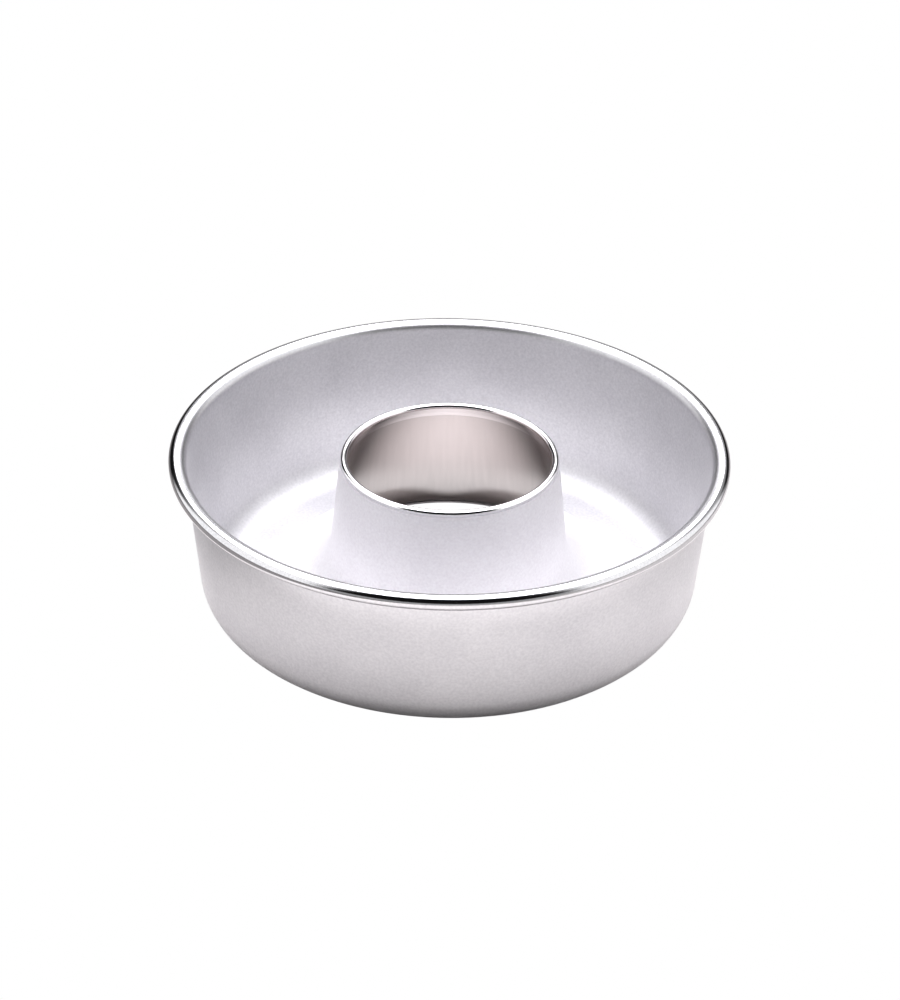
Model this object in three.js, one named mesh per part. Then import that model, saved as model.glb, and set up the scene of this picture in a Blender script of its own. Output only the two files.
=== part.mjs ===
// Ring cake pan: a drawn aluminium pan with a wired rolled rim and an open tapered tube in the middle.
// Millimetres, +Z up. The origin is the centre of the base, on the surface that the pan stands on.
import * as THREE from 'three';

// Sheet metal and fits
const SHEET = 1.0; // thickness of the aluminium sheet
const CLEARANCE = 0.3; // gap left between two pieces that lie against each other

// Outer pan
const RIM_DIAMETER = 254; // across the rolled rim
const PAN_HEIGHT = 76.2; // from the base to the top of the rim
const WALL_TAPER = 4.8; // degrees that the wall leans outward
const CORNER_RADIUS = 16; // outside radius from the floor to the wall

// Wired rim
const WIRE_DIAMETER = 3.8;
const RIM_LEDGE = 0.5; // flat top of the rim, from its inner bend to the roll
const RIM_BEND_RADIUS = 3.4; // radius under the bend from the wall to the ledge
const ROLL_TURN = 255; // degrees that the sheet is rolled round the wire

// Centre tube
const LIP_DIAMETER = 100; // across the curled lip
const TUBE_HEIGHT = 70.6; // from the base to the top of the lip
const TUBE_TAPER = 6; // degrees that the tube widens toward its foot
const HEM_GAP = 1.6; // space inside the curled lip
const HEM_DEPTH = 6; // from the top of the lip to the edge of its skirt
const FOOT_RADIUS = 28; // cake side radius from the tube to its flange
const FOOT_FLANGE = 3; // flat width of the flange
const COLLAR_HEIGHT = 5; // from the base to the top edge of the floor's collar

// Fineness of the round surfaces
const FACETS = 64; // flats in one turn round the pan
const BEND_STEP = 15; // degrees between the points of a bend
const WIRE_SIDES = 8;

const radians = THREE.MathUtils.degToRad;
const wallLean = radians(WALL_TAPER);
const tubeLean = radians(TUBE_TAPER);

// A point of a section is (distance from the axis, height).
const polar = (centre, radius, angle) =>
  new THREE.Vector2(Math.cos(angle), Math.sin(angle)).multiplyScalar(radius).add(centre);

// Points of a bend round a centre, from one angle in degrees to another, both ends included.
function bend(centre, radius, from, to) {
  const steps = Math.ceil(Math.abs(to - from) / BEND_STEP);
  return Array.from({ length: steps + 1 }, (_, i) =>
    polar(centre, radius, radians(from + ((to - from) * i) / steps)));
}

// The part of a falling line at and below a height, with a point of its own where the line is cut.
function cutAt(height, line) {
  const next = line.findIndex((point) => point.y <= height);
  const [high, low] = [line[next - 1], line[next]];
  const edge = high.clone().lerp(low, (high.y - height) / (high.y - low.y));
  return [edge, ...line.slice(next)];
}

// Closed outline of a sheet whose middle runs along a line of points: half its thickness to each side.
function sheetOutline(middle) {
  const side = (sign) => middle.map((point, i) => {
    const before = middle[Math.max(i - 1, 0)];
    const after = middle[Math.min(i + 1, middle.length - 1)];
    const into = point.clone().sub(i > 0 ? before : point).normalize();
    const out = after.clone().sub(point).normalize();
    const along = into.clone().add(out).normalize();
    const straight = i > 0 && i < middle.length - 1 ? along.dot(out) : 1;
    const across = new THREE.Vector2(-along.y, along.x);
    return across.multiplyScalar((sign * SHEET) / 2 / straight).add(point);
  });
  return [...side(1), ...side(-1).reverse()];
}

// Ring with a closed section, turned about the upright axis.
function turned(outline) {
  const geometry = new THREE.LatheGeometry([...outline, outline[0]], FACETS);
  return geometry.rotateX(Math.PI / 2);
}

function piece(name, geometry, look) {
  const mesh = new THREE.Mesh(geometry, new THREE.MeshStandardMaterial(look));
  mesh.name = name;
  return mesh;
}

// Rolled rim: the roll closes on the wire, and sets where the ledge and the top of the wall are.
const wireRadius = WIRE_DIAMETER / 2;
const rollMiddle = wireRadius + CLEARANCE + SHEET / 2;
const rollOutside = rollMiddle + SHEET / 2;
const rollCentre = new THREE.Vector2(RIM_DIAMETER / 2 - rollOutside, PAN_HEIGHT - rollOutside);
const rimBendMiddle = RIM_BEND_RADIUS + SHEET / 2;
const rimBendCentre = new THREE.Vector2(
  rollCentre.x - RIM_LEDGE,
  PAN_HEIGHT - SHEET / 2 - rimBendMiddle,
);

// Outer wall: it drops from the rim's bend to the corner, whose centre is on the line below.
const wallTop = polar(rimBendCentre, rimBendMiddle, Math.PI - wallLean);
const cornerMiddle = CORNER_RADIUS - SHEET / 2;
const wallDrop = wallTop.y - (CORNER_RADIUS - cornerMiddle * Math.sin(wallLean));
const wallFoot = new THREE.Vector2(wallTop.x - wallDrop * Math.tan(wallLean), wallTop.y - wallDrop);
const cornerCentre = polar(wallFoot, cornerMiddle, Math.PI - wallLean);

// Tube: the curl of its lip, then a straight taper down to the wide bend of its foot.
const hemMiddle = (SHEET + HEM_GAP) / 2;
const hemOutside = hemMiddle + SHEET / 2;
const hemCentre = new THREE.Vector2(LIP_DIAMETER / 2 - hemOutside, TUBE_HEIGHT - hemOutside);
const tubeTop = polar(hemCentre, hemMiddle, tubeLean);
const hemEdge = polar(hemCentre, hemMiddle, Math.PI + tubeLean);
const hemLength = (hemEdge.y - (TUBE_HEIGHT - HEM_DEPTH)) / Math.cos(tubeLean);
const footMiddle = FOOT_RADIUS + SHEET / 2;
const footHeight = 2 * SHEET + CLEARANCE + FOOT_RADIUS;
const tubeDrop = tubeTop.y - (footHeight - footMiddle * Math.sin(tubeLean));
const tubeFoot = new THREE.Vector2(tubeTop.x + tubeDrop * Math.tan(tubeLean), tubeTop.y - tubeDrop);
const footCentre = polar(tubeFoot, footMiddle, tubeLean);

// Collar: the floor bends up under the tube's foot, round the same centre.
const collarMiddle = footMiddle + SHEET + CLEARANCE;

// Drawn pan, from the edge of the collar across the floor and up the wall to the end of the roll
function panShell() {
  return turned(sheetOutline([
    ...cutAt(COLLAR_HEIGHT, bend(footCentre, collarMiddle, 180 + TUBE_TAPER, 270)),
    ...bend(cornerCentre, cornerMiddle, -90, -WALL_TAPER),
    ...bend(rimBendCentre, rimBendMiddle, 180 - WALL_TAPER, 90),
    ...bend(rollCentre, rollMiddle, 90, 90 - ROLL_TURN),
  ]).reverse());
}

// Tapered tube, from the edge of the lip's skirt over the curl and down to the rim of the foot flange
function centreTube() {
  const curl = bend(hemCentre, hemMiddle, 180 + TUBE_TAPER, TUBE_TAPER);
  const skirtEdge = polar(hemEdge, hemLength, tubeLean - Math.PI / 2);
  const foot = bend(footCentre, footMiddle, 180 + TUBE_TAPER, 270);
  const flangeRim = foot.at(-1).clone().setX(footCentre.x + FOOT_FLANGE);
  return turned(sheetOutline([skirtEdge, ...curl, ...foot, flangeRim]).reverse());
}

// Round wire, bent into a ring in the hollow of the roll
function rimWire() {
  return new THREE.TorusGeometry(rollCentre.x, wireRadius, WIRE_SIDES, FACETS).translate(0, 0, rollCentre.y);
}

const satinAluminium = { color: '#d6d4d8', roughness: 0.45, metalness: 1 };
const drawnAluminium = { color: '#d3cdc9', roughness: 0.3, metalness: 1 };
const zincWire = { color: '#8f9396', roughness: 0.5, metalness: 1 };

const ringCakePan = new THREE.Group();
ringCakePan.add(
  piece('pan_shell', panShell(), satinAluminium),
  piece('rim_wire', rimWire(), zincWire),
  piece('centre_tube', centreTube(), drawnAluminium),
);

export default ringCakePan;
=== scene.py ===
# Ring cake pan: a drawn aluminium pan with a wired, rolled rim and an open tapered tube in the middle.
# Metres, +Z up: the pan stands on z = 0, and its axis is the Z axis.
import math

import bpy
from mathutils import Matrix, Vector


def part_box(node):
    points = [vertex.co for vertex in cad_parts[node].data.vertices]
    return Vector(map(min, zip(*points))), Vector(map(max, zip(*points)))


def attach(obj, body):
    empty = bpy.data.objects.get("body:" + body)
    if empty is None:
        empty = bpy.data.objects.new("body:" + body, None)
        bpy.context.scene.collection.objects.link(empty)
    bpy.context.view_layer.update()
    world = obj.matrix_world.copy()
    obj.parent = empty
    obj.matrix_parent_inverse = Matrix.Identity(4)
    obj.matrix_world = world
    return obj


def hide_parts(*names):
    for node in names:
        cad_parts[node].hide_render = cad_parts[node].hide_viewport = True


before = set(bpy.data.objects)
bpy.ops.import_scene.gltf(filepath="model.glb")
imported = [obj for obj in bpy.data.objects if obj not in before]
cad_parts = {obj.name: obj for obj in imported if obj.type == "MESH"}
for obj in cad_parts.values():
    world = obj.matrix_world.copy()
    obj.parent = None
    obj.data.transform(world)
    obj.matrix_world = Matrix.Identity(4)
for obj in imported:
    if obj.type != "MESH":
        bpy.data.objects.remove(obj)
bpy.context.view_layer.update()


# Drawn pan: floor, corner, leaning wall and rim are one disc of 1 mm aluminium sheet, drawn deep over a die.
# Its middle is pierced and flared up into a low collar, and its edge is rolled outward over a wire.
# The sheet is finely blasted and anodised to a satin, and the roller leaves the outside of the rim burnished.
MM = 0.001
SHEET = 1.0 * MM
FIT = 0.3 * MM  # gap between two pieces that lie against each other

RIM_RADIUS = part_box("pan_shell")[1].x
PAN_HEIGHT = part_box("pan_shell")[1].z
WALL_TAPER = 4.8  # degrees that the wall leans outward
CORNER_RADIUS = 16 * MM  # outside, from the floor to the wall
WIRE_RADIUS = (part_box("rim_wire")[1].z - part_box("rim_wire")[0].z) / 2
RIM_LEDGE = 0.5 * MM  # flat top of the rim, from its inner bend to the roll
RIM_BEND_RADIUS = 3.4 * MM
ROLL_TURN = 255  # degrees that the sheet is rolled round the wire

TUBE_TAPER = 6  # degrees that the tube widens toward its foot
FOOT_RADIUS = 28 * MM  # cake side radius at the foot of the tube
FOOT_FLANGE = 3 * MM  # flat width of the tube's flange
COLLAR_HEIGHT = 5 * MM

BEND_STEP = 6  # degrees between the points of a bend
STRAIGHT_STEP = 3 * MM  # most that two points of a straight stretch are apart
EDGE_STEPS = 6  # steps round a cut edge, which is tumbled smooth
FLATS = 256  # flats in one turn round the pan


def polar(centre, radius, degrees):
    """Point of a section, as distance from the axis and height, at an angle round a centre."""
    angle = math.radians(degrees)
    return centre + radius * Vector((math.cos(angle), math.sin(angle)))


def bend(centre, radius, start, end):
    """Points of a bend round a centre, from one angle to another."""
    steps = math.ceil(abs(end - start) / BEND_STEP)
    return [polar(centre, radius, start + (end - start) * i / steps) for i in range(steps + 1)]


def divided(line):
    """The same line with points along its straight stretches, so that its shading stays even."""
    points = [line[0]]
    for before, after in zip(line, line[1:]):
        steps = math.ceil((after - before).length / STRAIGHT_STEP)
        points += [before.lerp(after, i / steps) for i in range(1, steps + 1)]
    return points


def sheet_outline(line):
    """Closed outline of a sheet along a line: half its thickness to each side, its cut edges rounded."""
    middle = divided(line)
    sides = []
    for i, point in enumerate(middle):
        into = (point - middle[max(i - 1, 0)]).normalized()
        out = (middle[min(i + 1, len(middle) - 1)] - point).normalized()
        along = (into + out).normalized()
        mitre = max(along.dot(into), along.dot(out))
        sides.append(Vector((-along.y, along.x)) * (SHEET / 2 / mitre))
    round_off = [Matrix.Rotation(-math.pi * k / EDGE_STEPS, 2) for k in range(1, EDGE_STEPS)]
    left = [point + side for point, side in zip(middle, sides)]
    right = [point - side for point, side in zip(middle, sides)]
    far_edge = [middle[-1] + turn @ sides[-1] for turn in round_off]
    near_edge = [middle[0] - turn @ sides[0] for turn in round_off]
    return left + far_edge + right[::-1] + near_edge


def add_node(tree, kind, inputs=None, **settings):
    """Adds a node with its settings. Each input gets a value, or a link from another node's output."""
    made = tree.nodes.new(kind)
    for name, value in settings.items():
        setattr(made, name, value)
    for name, value in (inputs or {}).items():
        if isinstance(value, bpy.types.NodeSocket):
            tree.links.new(value, made.inputs[name])
        else:
            made.inputs[name].default_value = value
    return made


def turning_tree():
    """Geometry Nodes that turn a closed section about the upright axis, and mark what faces that axis."""
    tree = bpy.data.node_groups.new("turned_section", "GeometryNodeTree")
    sockets = tree.interface
    sockets.new_socket("Section", in_out="INPUT", socket_type="NodeSocketGeometry")
    sockets.new_socket("Spine radius", in_out="INPUT", socket_type="NodeSocketFloat")
    sockets.new_socket("Flats", in_out="INPUT", socket_type="NodeSocketInt")
    sockets.new_socket("Finish", in_out="INPUT", socket_type="NodeSocketMaterial")
    sockets.new_socket("Turned", in_out="OUTPUT", socket_type="NodeSocketGeometry")
    given = add_node(tree, "NodeGroupInput").outputs
    spine = add_node(tree, "GeometryNodeCurvePrimitiveCircle", {
        "Resolution": given["Flats"],
        "Radius": given["Spine radius"],
    })
    back = add_node(tree, "ShaderNodeMath", {0: given["Spine radius"], 1: -1.0}, operation="MULTIPLY")
    shift = add_node(tree, "ShaderNodeCombineXYZ", {"X": back.outputs[0]})
    upright = add_node(tree, "GeometryNodeTransform", {
        "Geometry": given["Section"],
        "Translation": shift.outputs[0],
        "Rotation": (math.pi, 0, 0),
    })
    swept = add_node(tree, "GeometryNodeCurveToMesh", {
        "Curve": spine.outputs["Curve"],
        "Profile Curve": upright.outputs["Geometry"],
    })
    smooth = add_node(tree, "GeometryNodeSetShadeSmooth", {"Geometry": swept.outputs["Mesh"]})
    place = add_node(tree, "GeometryNodeInputPosition")
    level = add_node(tree, "ShaderNodeVectorMath", {0: place.outputs[0], 1: (1, 1, 0)}, operation="MULTIPLY")
    outward = add_node(tree, "ShaderNodeVectorMath", {0: level.outputs[0]}, operation="NORMALIZE")
    normal = add_node(tree, "GeometryNodeInputNormal")
    facing = add_node(tree, "ShaderNodeVectorMath", {
        0: normal.outputs[0],
        1: outward.outputs[0],
    }, operation="DOT_PRODUCT")
    marked = add_node(tree, "GeometryNodeStoreNamedAttribute", {
        "Geometry": smooth.outputs["Geometry"],
        "Name": "faces_outward",
        "Value": facing.outputs["Value"],
    }, data_type="FLOAT", domain="POINT")
    real = add_node(tree, "GeometryNodeRealizeInstances", {"Geometry": marked.outputs["Geometry"]})
    finished = add_node(tree, "GeometryNodeSetMaterial", {
        "Geometry": real.outputs["Geometry"],
        "Material": given["Finish"],
    })
    add_node(tree, "NodeGroupOutput", {"Turned": finished.outputs["Geometry"]})
    return tree


TURNING = turning_tree()


def turned(name, outline, finish):
    """Piece turned from a closed section, as a plain mesh at the origin."""
    drawing = bpy.data.curves.new(name + "_section", "CURVE")
    drawing.dimensions = "2D"
    drawing.fill_mode = "NONE"
    spline = drawing.splines.new("POLY")
    spline.points.add(len(outline) - 1)
    spline.use_cyclic_u = True
    for point, place in zip(spline.points, outline):
        point.co = (place.x, place.y, 0, 1)
    section = bpy.data.objects.new(name + "_section", drawing)
    bpy.context.scene.collection.objects.link(section)
    modifier = section.modifiers.new("turning", "NODES")
    modifier.node_group = TURNING
    given = {"Spine radius": outline[0].x, "Flats": FLATS, "Finish": finish}
    for socket in TURNING.interface.items_tree:
        if socket.name in given:
            modifier[socket.identifier] = given[socket.name]
    depsgraph = bpy.context.evaluated_depsgraph_get()
    mesh = bpy.data.meshes.new_from_object(section.evaluated_get(depsgraph))
    mesh.name = name
    bpy.data.objects.remove(section)
    bpy.data.curves.remove(drawing)
    piece = bpy.data.objects.new(name, mesh)
    bpy.context.scene.collection.objects.link(piece)
    return piece


def linear(code):
    """Linear colour of an sRGB hex value."""
    channels = [int(code[i:i + 2], 16) / 255 for i in (1, 3, 5)]
    return (*[c / 12.92 if c <= 0.04045 else ((c + 0.055) / 1.055) ** 2.4 for c in channels], 1)


def mottled(tree, place, dark, light):
    """Tone of anodised sheet: slow clouds from the blasting, and fine specks from the bath."""
    cloud_size = 35 * MM
    speck_size = 1.2 * MM
    speck_share = 0.6
    noise_low, noise_high = 0.3, 0.7  # range of the noise that runs from the dark tone to the light one
    clouds = add_node(tree, "ShaderNodeTexNoise", {"Vector": place, "Scale": 1 / cloud_size, "Detail": 2})
    specks = add_node(tree, "ShaderNodeTexNoise", {"Vector": place, "Scale": 1 / speck_size, "Detail": 2})
    both = add_node(tree, "ShaderNodeMix", {
        "Factor": speck_share, 2: clouds.outputs["Fac"], 3: specks.outputs["Fac"],
    })
    depth = add_node(tree, "ShaderNodeMapRange", {
        "Value": both.outputs[0], "From Min": noise_low, "From Max": noise_high,
    })
    return add_node(tree, "ShaderNodeMix", {
        "Factor": depth.outputs["Result"], 6: linear(dark), 7: linear(light),
    }, data_type="RGBA").outputs[2]


def satin_aluminium():
    """Blasted and anodised aluminium: a fine matt grain that spreads a highlight, and a burnished rim. Its
    inside is toned darker than its outside, as painted shade.
    """
    # Painted shade: the inside of the sheet is toned darker than its outside, for the shade inside the pan.
    shaded_inside_tones = ("#c7c6ca", "#dddcdf")
    outside_tones = ("#d7d6da", "#ebeaed")
    faces_axis, faces_away = -0.6, -0.1  # part of the normal that points away from the axis, in and out
    grain_size = 0.5 * MM  # the real blast grain is nearer 0.1 mm, too fine to show, so it is drawn coarser
    grain_depth = 0.2 * MM
    grain_strength = 0.06
    satin_low, satin_high = 0.48, 0.6  # roughness of the blasted sheet, which follows the grain
    pressed_roughness = 0.32  # bend inside the rim, which the roller presses smooth
    burnished_roughness = 0.1  # outside of the roll
    bend_inside = roll_centre.x - 5.5 * MM
    bend_outside = roll_centre.x - 3.8 * MM
    rim_inside = roll_centre.x - 2 * MM
    rim_outside = roll_centre.x - 0.5 * MM
    finish = bpy.data.materials.new("satin_anodised_aluminium")
    finish.use_nodes = True
    tree = finish.node_tree
    shader = tree.nodes["Principled BSDF"]
    shader.inputs["Metallic"].default_value = 1
    place = add_node(tree, "ShaderNodeTexCoord").outputs["Object"]
    grain = add_node(tree, "ShaderNodeTexNoise", {
        "Vector": place, "Scale": 1 / grain_size, "Detail": 3, "Roughness": 0.6,
    })
    facing = add_node(tree, "ShaderNodeAttribute", attribute_name="faces_outward")
    outside = add_node(tree, "ShaderNodeMapRange", {
        "Value": facing.outputs["Fac"], "From Min": faces_axis, "From Max": faces_away,
    }, interpolation_type="SMOOTHSTEP")
    tone = add_node(tree, "ShaderNodeMix", {
        "Factor": outside.outputs["Result"],
        6: mottled(tree, place, *shaded_inside_tones),
        7: mottled(tree, place, *outside_tones),
    }, data_type="RGBA")
    level = add_node(tree, "ShaderNodeVectorMath", {0: place, 1: (1, 1, 0)}, operation="MULTIPLY")
    reach = add_node(tree, "ShaderNodeVectorMath", {0: level.outputs[0]}, operation="LENGTH")
    burnish = add_node(tree, "ShaderNodeMapRange", {
        "Value": reach.outputs["Value"], "From Min": rim_inside, "From Max": rim_outside,
    }, interpolation_type="SMOOTHSTEP")
    matt = add_node(tree, "ShaderNodeMapRange", {
        "Value": grain.outputs["Fac"], "To Min": satin_low, "To Max": satin_high,
    })
    pressed = add_node(tree, "ShaderNodeMapRange", {
        "Value": reach.outputs["Value"], "From Min": bend_inside, "From Max": bend_outside,
    }, interpolation_type="SMOOTHSTEP")
    sides = add_node(tree, "ShaderNodeMix", {
        "Factor": pressed.outputs["Result"], 2: matt.outputs["Result"], 3: pressed_roughness,
    })
    gloss = add_node(tree, "ShaderNodeMix", {
        "Factor": burnish.outputs["Result"], 2: sides.outputs[0], 3: burnished_roughness,
    })
    bump = add_node(tree, "ShaderNodeBump", {
        "Height": grain.outputs["Fac"], "Strength": grain_strength, "Distance": grain_depth,
    })
    tree.links.new(tone.outputs[2], shader.inputs["Base Color"])
    tree.links.new(gloss.outputs[0], shader.inputs["Roughness"])
    tree.links.new(bump.outputs["Normal"], shader.inputs["Normal"])
    return finish


roll_middle = WIRE_RADIUS + FIT + SHEET / 2
roll_centre = Vector((RIM_RADIUS - roll_middle - SHEET / 2, PAN_HEIGHT - roll_middle - SHEET / 2))
roll_end = 90 - ROLL_TURN + math.degrees(SHEET / 2 / roll_middle)
rim_bend_middle = RIM_BEND_RADIUS + SHEET / 2
rim_bend_centre = Vector((roll_centre.x - RIM_LEDGE, PAN_HEIGHT - SHEET / 2 - rim_bend_middle))

corner_middle = CORNER_RADIUS - SHEET / 2
wall_top = polar(rim_bend_centre, rim_bend_middle, 180 - WALL_TAPER)
wall_foot_height = CORNER_RADIUS - corner_middle * math.sin(math.radians(WALL_TAPER))
wall_lean = (wall_top.y - wall_foot_height) * math.tan(math.radians(WALL_TAPER))
wall_foot = Vector((wall_top.x - wall_lean, wall_foot_height))
corner_centre = polar(wall_foot, corner_middle, 180 - WALL_TAPER)

foot_centre = Vector((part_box("centre_tube")[1].x - FOOT_FLANGE, 2 * SHEET + FIT + FOOT_RADIUS))
collar_middle = FOOT_RADIUS + FIT + 1.5 * SHEET
collar_turn = math.degrees(math.acos(1 - (COLLAR_HEIGHT - SHEET) / collar_middle))

pan = turned("drawn_pan", sheet_outline([
    *bend(foot_centre, collar_middle, 270 - collar_turn, 270),
    *bend(corner_centre, corner_middle, -90, -WALL_TAPER),
    *bend(rim_bend_centre, rim_bend_middle, 180 - WALL_TAPER, 90),
    *bend(roll_centre, roll_middle, 90, roll_end),
]), satin_aluminium())
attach(pan, "root")
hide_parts("pan_shell")


# Rim wire: a ring of 3.8 mm galvanised steel wire, which the edge of the pan is rolled round.
# It stiffens the rim, and the roll closes over it, so that only its underside can be glimpsed.
WIRE_STEP = 15  # degrees between the points of the wire's section


def galvanised_wire():
    """Zinc coated drawn steel wire: dull grey, with the soft blotches of the zinc."""
    blotch_size = 2.5 * MM
    zinc_dark, zinc_light = "#a9adb0", "#c3c6c8"
    dull_low, dull_high = 0.38, 0.55  # roughness, from the middle of a blotch to its edge
    finish = bpy.data.materials.new("galvanised_steel_wire")
    finish.use_nodes = True
    tree = finish.node_tree
    shader = tree.nodes["Principled BSDF"]
    shader.inputs["Metallic"].default_value = 1
    place = add_node(tree, "ShaderNodeTexCoord").outputs["Object"]
    blotch = add_node(tree, "ShaderNodeTexVoronoi", {"Vector": place, "Scale": 1 / blotch_size})
    tone = add_node(tree, "ShaderNodeMix", {
        "Factor": blotch.outputs["Color"], 6: linear(zinc_dark), 7: linear(zinc_light),
    }, data_type="RGBA")
    dull = add_node(tree, "ShaderNodeMapRange", {
        "Value": blotch.outputs["Distance"], "To Min": dull_low, "To Max": dull_high,
    })
    tree.links.new(tone.outputs[2], shader.inputs["Base Color"])
    tree.links.new(dull.outputs["Result"], shader.inputs["Roughness"])
    return finish


wire_points = [polar(roll_centre, WIRE_RADIUS, -angle) for angle in range(0, 360, WIRE_STEP)]
wire = turned("rim_wire_ring", wire_points, galvanised_wire())
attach(wire, "root")
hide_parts("rim_wire")


# Centre tube: the same sheet drawn into a tapered tube, open right through, its lip curled inward.
# Its foot flares in a wide curve to a narrow flange, and is pressed tight over the floor's collar.
# The cake side is satin as the pan is, the lip is burnished, and the bore keeps the drawing punch's shine.
LIP_RADIUS = 50 * MM
TUBE_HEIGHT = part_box("centre_tube")[1].z
HEM_GAP = 1.6 * MM  # space inside the curled lip
HEM_DEPTH = 6 * MM  # from the top of the lip to the edge of its skirt


def drawn_aluminium():
    """Drawn aluminium: satin outside, shinier in the bore, where the punch leaves fine upright lines. Its
    tones carry painted light and shade: a lighter cake side, a darker and browner bore, and a lighter band
    inside the lip.
    """
    # Painted light: the cake side is toned lighter than the pan's sheet, so that the tube shows brighter.
    cake_side_tones_painted_light = ("#f1eff1", "#fffeff")
    # Painted shade: the bore is toned darker and browner than the cake side; the step between its two tones
    # is the drawing lines.
    bore_dark, bore_light = "#d7d0d0", "#dfd8d8"
    # Painted highlight: the inside of the curled lip, above the skirt's edge, is toned lighter than the bore.
    skirt_painted_highlight = "#f1ecee"
    faces_away, faces_axis = -0.05, -0.35  # part of the normal that points away from the axis, out and in
    grain_size = 0.5 * MM  # drawn coarser than the real grain of about 0.1 mm, which wouldn't show
    grain_depth = 0.2 * MM
    grain_strength = 0.05
    satin_low, satin_high = 0.48, 0.6  # roughness of the cake side, which follows the grain
    bright_low, bright_high = 0.235, 0.265  # roughness of the bore, which follows the lines
    lip_roughness = 0.05
    line_width = 2 * MM  # drawing lines, drawn about five times as wide as the real ones
    line_length = 60 * MM
    skirt_edge = TUBE_HEIGHT - HEM_DEPTH
    skirt_fade = 0.2 * MM
    lip_low = TUBE_HEIGHT - 3.5 * MM
    lip_high = TUBE_HEIGHT - 1.5 * MM
    finish = bpy.data.materials.new("drawn_aluminium_sheet")
    finish.use_nodes = True
    tree = finish.node_tree
    shader = tree.nodes["Principled BSDF"]
    shader.inputs["Metallic"].default_value = 1
    place = add_node(tree, "ShaderNodeTexCoord").outputs["Object"]
    grain = add_node(tree, "ShaderNodeTexNoise", {
        "Vector": place, "Scale": 1 / grain_size, "Detail": 3, "Roughness": 0.6,
    })
    stretch = add_node(tree, "ShaderNodeMapping", {
        "Vector": place, "Scale": (1 / line_width, 1 / line_width, 1 / line_length),
    })
    lines = add_node(tree, "ShaderNodeTexNoise", {"Vector": stretch.outputs[0], "Scale": 1, "Detail": 0})
    facing = add_node(tree, "ShaderNodeAttribute", attribute_name="faces_outward")
    bore = add_node(tree, "ShaderNodeMapRange", {
        "Value": facing.outputs["Fac"], "From Min": faces_away, "From Max": faces_axis,
    }, interpolation_type="SMOOTHSTEP")
    height = add_node(tree, "ShaderNodeSeparateXYZ", {0: place}).outputs["Z"]
    # mask of the painted highlight inside the curled lip
    skirt = add_node(tree, "ShaderNodeMapRange", {
        "Value": height, "From Min": skirt_edge - skirt_fade, "From Max": skirt_edge + skirt_fade,
    })
    streaks = add_node(tree, "ShaderNodeMix", {
        "Factor": lines.outputs["Fac"], 6: linear(bore_dark), 7: linear(bore_light),
    }, data_type="RGBA")
    inside = add_node(tree, "ShaderNodeMix", {
        "Factor": skirt.outputs["Result"], 6: streaks.outputs[2], 7: linear(skirt_painted_highlight),
    }, data_type="RGBA")
    tone = add_node(tree, "ShaderNodeMix", {
        "Factor": bore.outputs["Result"],
        6: mottled(tree, place, *cake_side_tones_painted_light),
        7: inside.outputs[2],
    }, data_type="RGBA")
    burnish = add_node(tree, "ShaderNodeMapRange", {
        "Value": height, "From Min": lip_low, "From Max": lip_high,
    }, interpolation_type="SMOOTHSTEP")
    matt = add_node(tree, "ShaderNodeMapRange", {
        "Value": grain.outputs["Fac"], "To Min": satin_low, "To Max": satin_high,
    })
    bright = add_node(tree, "ShaderNodeMapRange", {
        "Value": lines.outputs["Fac"], "To Min": bright_low, "To Max": bright_high,
    })
    sides = add_node(tree, "ShaderNodeMix", {
        "Factor": bore.outputs["Result"], 2: matt.outputs["Result"], 3: bright.outputs["Result"],
    })
    gloss = add_node(tree, "ShaderNodeMix", {
        "Factor": burnish.outputs["Result"], 2: sides.outputs[0], 3: lip_roughness,
    })
    bump = add_node(tree, "ShaderNodeBump", {
        "Height": grain.outputs["Fac"], "Strength": grain_strength, "Distance": grain_depth,
    })
    tree.links.new(tone.outputs[2], shader.inputs["Base Color"])
    tree.links.new(gloss.outputs[0], shader.inputs["Roughness"])
    tree.links.new(bump.outputs["Normal"], shader.inputs["Normal"])
    return finish


hem_middle = (SHEET + HEM_GAP) / 2
hem_outside = hem_middle + SHEET / 2
hem_centre = Vector((LIP_RADIUS - hem_outside, TUBE_HEIGHT - hem_outside))
hem_side = polar(hem_centre, hem_middle, 180 + TUBE_TAPER)
hem_drop = hem_side.y - (TUBE_HEIGHT - HEM_DEPTH + SHEET / 2)
hem_edge = hem_side + hem_drop * Vector((math.tan(math.radians(TUBE_TAPER)), -1))
foot_middle = FOOT_RADIUS + SHEET / 2
flange_edge = Vector((foot_centre.x + FOOT_FLANGE - SHEET / 2, foot_centre.y - foot_middle))

tube = turned("tapered_tube", sheet_outline([
    hem_edge,
    *bend(hem_centre, hem_middle, 180 + TUBE_TAPER, TUBE_TAPER),
    *bend(foot_centre, foot_middle, 180 + TUBE_TAPER, 270),
    flange_edge,
]), drawn_aluminium())
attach(tube, "root")
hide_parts("centre_tube")


# Floor: a plain white table top of matt laminate, large enough to fill the view from any side.
# Seen directly it is evenly white. In the metal's reflections it carries painted shade beside, behind and
# under the pan, and a painted glow on the table inside the tube, which stands in for the light that falls
# through it.
FLOOR_SIZE = 6.0
FLOOR_COLOUR = "#fdf9f7"
# Painted shade on the table, seen only in the metal's reflections: beside, behind and under the pan.
SHADE_START = 0.14  # from the middle to where the shade beside and behind the pan begins
SHADE_END = 0.175
LEFT_SHADE = 0.25  # share of the light that is left in each shade
RIGHT_SHADE = 0.53
BACK_SHADE = 0.5
FOOT_SHADE = 0.26
FOOT_SHADE_PLACE = (0, -0.03, 0)  # toward the front, because the light reaches further back
FOOT_SHADE_START = 0.07
FOOT_SHADE_END = 0.126
BORE_CLEAR = 0.02  # inside the tube, from the axis to where the shade begins
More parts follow.
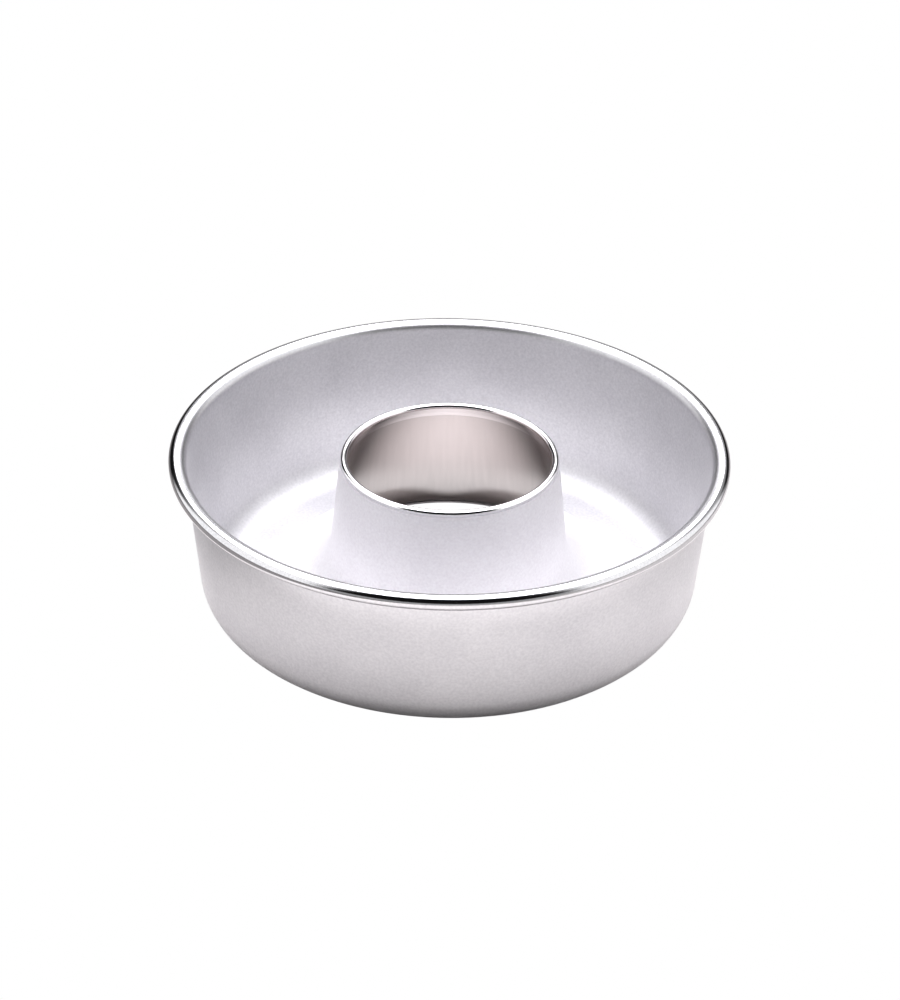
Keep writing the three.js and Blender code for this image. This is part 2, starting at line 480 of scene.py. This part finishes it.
# Painted glow on the table inside the tube, seen only in the metal's reflections, in place of the light that
# falls through it.
BORE_GLOW = 0.75  # share of even light on the table inside the tube
BORE_GLOW_PLACE = (0, 0.035, 0)
BORE_GLOW_LENGTH = 0.029  # half of it, from front to back
BORE_GLOW_SLIMNESS = 2  # how many times longer than wide


def white_laminate_painted_shade_and_glow():
    """Matt white laminate, lit evenly where it is seen directly; in the metal's reflections it carries
    painted shade and a painted glow.
    """
    finish = bpy.data.materials.new("white_laminate_painted_shade_and_glow")
    finish.use_nodes = True
    tree = finish.node_tree
    tree.nodes.remove(tree.nodes["Principled BSDF"])
    place = add_node(tree, "ShaderNodeTexCoord").outputs["Object"]
    on_table = add_node(tree, "ShaderNodeSeparateXYZ", {0: place}).outputs
    # painted shade beside and behind the pan
    left = add_node(tree, "ShaderNodeMapRange", {
        "Value": on_table["X"], "From Min": -SHADE_END, "From Max": -SHADE_START, "To Min": LEFT_SHADE,
    }, interpolation_type="SMOOTHSTEP")
    right = add_node(tree, "ShaderNodeMapRange", {
        "Value": on_table["X"], "From Min": SHADE_END, "From Max": SHADE_START, "To Min": RIGHT_SHADE,
    }, interpolation_type="SMOOTHSTEP")
    behind = add_node(tree, "ShaderNodeMapRange", {
        "Value": on_table["Y"], "From Min": SHADE_END, "From Max": SHADE_START, "To Min": BACK_SHADE,
    }, interpolation_type="SMOOTHSTEP")
    # painted shade under the pan's corner, kept clear inside the tube
    from_shade = add_node(tree, "ShaderNodeVectorMath", {
        0: place, 1: FOOT_SHADE_PLACE,
    }, operation="DISTANCE")
    foot = add_node(tree, "ShaderNodeMapRange", {
        "Value": from_shade.outputs["Value"],
        "From Min": FOOT_SHADE_START,
        "From Max": FOOT_SHADE_END,
        "To Min": FOOT_SHADE,
    }, interpolation_type="SMOOTHSTEP")
    reach = add_node(tree, "ShaderNodeVectorMath", {0: place}, operation="LENGTH")
    clear = add_node(tree, "ShaderNodeMapRange", {
        "Value": reach.outputs["Value"], "From Min": corner_centre.x, "From Max": BORE_CLEAR,
    }, interpolation_type="SMOOTHSTEP")
    under = add_node(tree, "ShaderNodeMath", {
        0: foot.outputs[0], 1: clear.outputs[0],
    }, operation="MAXIMUM")
    light = under
    for shade in (behind, left, right):
        light = add_node(tree, "ShaderNodeMath", {
            0: light.outputs[0], 1: shade.outputs[0],
        }, operation="MULTIPLY")
    shaded = add_node(tree, "ShaderNodeVectorMath", {
        0: linear(FLOOR_COLOUR)[:3], "Scale": light.outputs[0],
    }, operation="SCALE")
    matt = add_node(tree, "ShaderNodeBsdfDiffuse", {"Color": shaded.outputs[0]})
    # painted glow on the table inside the tube, which the metal mirrors; the camera sees the table evenly
    # white
    slim = add_node(tree, "ShaderNodeVectorMath", {
        0: place, 1: (BORE_GLOW_SLIMNESS, 1, 1),
    }, operation="MULTIPLY")
    from_glow = add_node(tree, "ShaderNodeVectorMath", {
        0: slim.outputs[0], 1: BORE_GLOW_PLACE,
    }, operation="DISTANCE")
    glow = add_node(tree, "ShaderNodeMapRange", {
        "Value": from_glow.outputs["Value"],
        "From Min": BORE_GLOW_LENGTH,
        "From Max": BORE_GLOW_LENGTH / 2,
        "To Max": BORE_GLOW,
    }, interpolation_type="SMOOTHSTEP")
    path = add_node(tree, "ShaderNodeLightPath")
    even = add_node(tree, "ShaderNodeMath", {
        0: path.outputs["Is Camera Ray"], 1: glow.outputs[0],
    }, operation="MAXIMUM")
    lit = add_node(tree, "ShaderNodeEmission", {"Color": linear("#ffffff")})
    mixed = add_node(tree, "ShaderNodeMixShader", {
        0: even.outputs[0], 1: matt.outputs[0], 2: lit.outputs[0],
    })
    tree.links.new(mixed.outputs[0], tree.nodes["Material Output"].inputs["Surface"])
    return finish


half = FLOOR_SIZE / 2
floor_corners = [(-half, -half, 0), (half, -half, 0), (half, half, 0), (-half, half, 0)]
floor_mesh = bpy.data.meshes.new("floor")
floor_mesh.from_pydata(floor_corners, [], [(0, 1, 2, 3)])
floor_mesh.materials.append(white_laminate_painted_shade_and_glow())
floor = bpy.data.objects.new("floor", floor_mesh)
bpy.context.scene.collection.objects.link(floor)


# Studio light: one broad white panel hangs overhead, and reaches further back than forward.
# White screens stand at both sides. The room is dark high up in front and low down at the back,
# which draws the black lines along the rim and the lip.
PANEL_WIDTH = 1.05
PANEL_FRONT = -0.19
PANEL_BACK = 1.2
PANEL_HEIGHT = 0.78
PANEL_RADIANCE = 3.7
PANEL_COLOUR = "#fdfcff"

SIDE_GREY = 1.2
FRONT_GREY = 0.4
BACK_GREY = 0.4
DARK_GREY = 0.006

# Borders in the room, as parts of a vector of length 1 that points at them from the pan
SCREEN_SLANT = 0.8  # how fast the edge of a side screen moves outward toward the ends of the room
SCREEN_EDGE = (0.1, 0.4)
ENDS_MEET = (-0.2, 0.2)  # from the front end to the back end
FRONT_EDGE = (0.22, 0.38)  # heights between which the front end turns dark
BACK_EDGE = 0.15  # height over which the back end turns grey
BACK_LEAN = 0.15  # how much lower that begins on the right
BACK_WINGS = (0.1, 0.4)  # sideways, where it rises
BACK_WINGS_RISE = 0.36

panel_light = bpy.data.lights.new("overhead_panel", "AREA")
panel_light.shape = "RECTANGLE"
panel_light.size = PANEL_WIDTH
panel_light.size_y = PANEL_BACK - PANEL_FRONT
panel_light.energy = PANEL_RADIANCE * math.pi * panel_light.size * panel_light.size_y
panel_light.color = linear(PANEL_COLOUR)[:3]
panel = bpy.data.objects.new("overhead_panel", panel_light)
panel.location = (0, (PANEL_FRONT + PANEL_BACK) / 2, PANEL_HEIGHT)
panel.visible_camera = False
bpy.context.scene.collection.objects.link(panel)

room = bpy.data.worlds.new("studio_room")
room.use_nodes = True
bpy.context.scene.world = room
walls = room.node_tree
heading = add_node(walls, "ShaderNodeTexCoord").outputs["Generated"]
toward = add_node(walls, "ShaderNodeSeparateXYZ", {0: heading}).outputs
aside = add_node(walls, "ShaderNodeMath", {0: toward["X"]}, operation="ABSOLUTE")
ahead = add_node(walls, "ShaderNodeMath", {0: toward["Y"]}, operation="ABSOLUTE")
front = add_node(walls, "ShaderNodeMapRange", {
    "Value": toward["Z"],
    "From Min": FRONT_EDGE[0],
    "From Max": FRONT_EDGE[1],
    "To Min": FRONT_GREY,
    "To Max": DARK_GREY,
}, interpolation_type="SMOOTHSTEP")
leant = add_node(walls, "ShaderNodeMath", {
    0: toward["X"], 1: BACK_LEAN, 2: toward["Z"],
}, operation="MULTIPLY_ADD")
wings = add_node(walls, "ShaderNodeMapRange", {
    "Value": aside.outputs[0],
    "From Min": BACK_WINGS[0],
    "From Max": BACK_WINGS[1],
    "To Max": BACK_WINGS_RISE,
})
above = add_node(walls, "ShaderNodeMath", {
    0: leant.outputs[0], 1: wings.outputs[0],
}, operation="SUBTRACT")
back = add_node(walls, "ShaderNodeMapRange", {
    "Value": above.outputs[0], "From Max": BACK_EDGE, "To Min": DARK_GREY, "To Max": BACK_GREY,
}, interpolation_type="SMOOTHSTEP")
depth = add_node(walls, "ShaderNodeMapRange", {
    "Value": toward["Y"], "From Min": ENDS_MEET[0], "From Max": ENDS_MEET[1],
}, interpolation_type="SMOOTHSTEP")
ends = add_node(walls, "ShaderNodeMix", {
    "Factor": depth.outputs["Result"], 2: front.outputs["Result"], 3: back.outputs["Result"],
})
slanted = add_node(walls, "ShaderNodeMath", {
    0: ahead.outputs[0], 1: -SCREEN_SLANT, 2: aside.outputs[0],
}, operation="MULTIPLY_ADD")
screens = add_node(walls, "ShaderNodeMapRange", {
    "Value": slanted.outputs[0], "From Min": SCREEN_EDGE[0], "From Max": SCREEN_EDGE[1],
}, interpolation_type="SMOOTHSTEP")
greys = add_node(walls, "ShaderNodeMix", {
    "Factor": screens.outputs["Result"], 2: ends.outputs[0], 3: SIDE_GREY,
})
path = add_node(walls, "ShaderNodeLightPath")
seen = add_node(walls, "ShaderNodeMix", {
    "Factor": path.outputs["Is Camera Ray"], 6: greys.outputs[0], 7: linear("#ffffff"),
}, data_type="RGBA")
walls.links.new(seen.outputs[2], walls.nodes["Background"].inputs["Color"])


# Camera: a long lens a little over a metre away, square to the front and looking down into the pan.
# It is rolled slightly, as in the photograph, and has no shift and no depth of field.
CAMERA_PLACE = Vector((0, -0.9532, 0.63147))
CAMERA_PITCH = -31.53  # degrees from level
CAMERA_YAW = -0.025  # degrees, to the right
CAMERA_ROLL = 0.752  # degrees
FOCAL_LENGTH = 87.64  # millimetres, on a sensor of 36 mm

lens = bpy.data.cameras.new("camera")
lens.lens = FOCAL_LENGTH
camera = bpy.data.objects.new("camera", lens)
turn = Matrix.Rotation(math.radians(CAMERA_YAW), 4, "Z")
tilt = Matrix.Rotation(math.radians(90 + CAMERA_PITCH), 4, "X")
roll = Matrix.Rotation(math.radians(CAMERA_ROLL), 4, "Z")
camera.matrix_world = Matrix.Translation(CAMERA_PLACE) @ turn @ tilt @ roll
bpy.context.scene.collection.objects.link(camera)
bpy.context.scene.camera = camera
bpy.context.scene.view_settings.view_transform = "Standard"
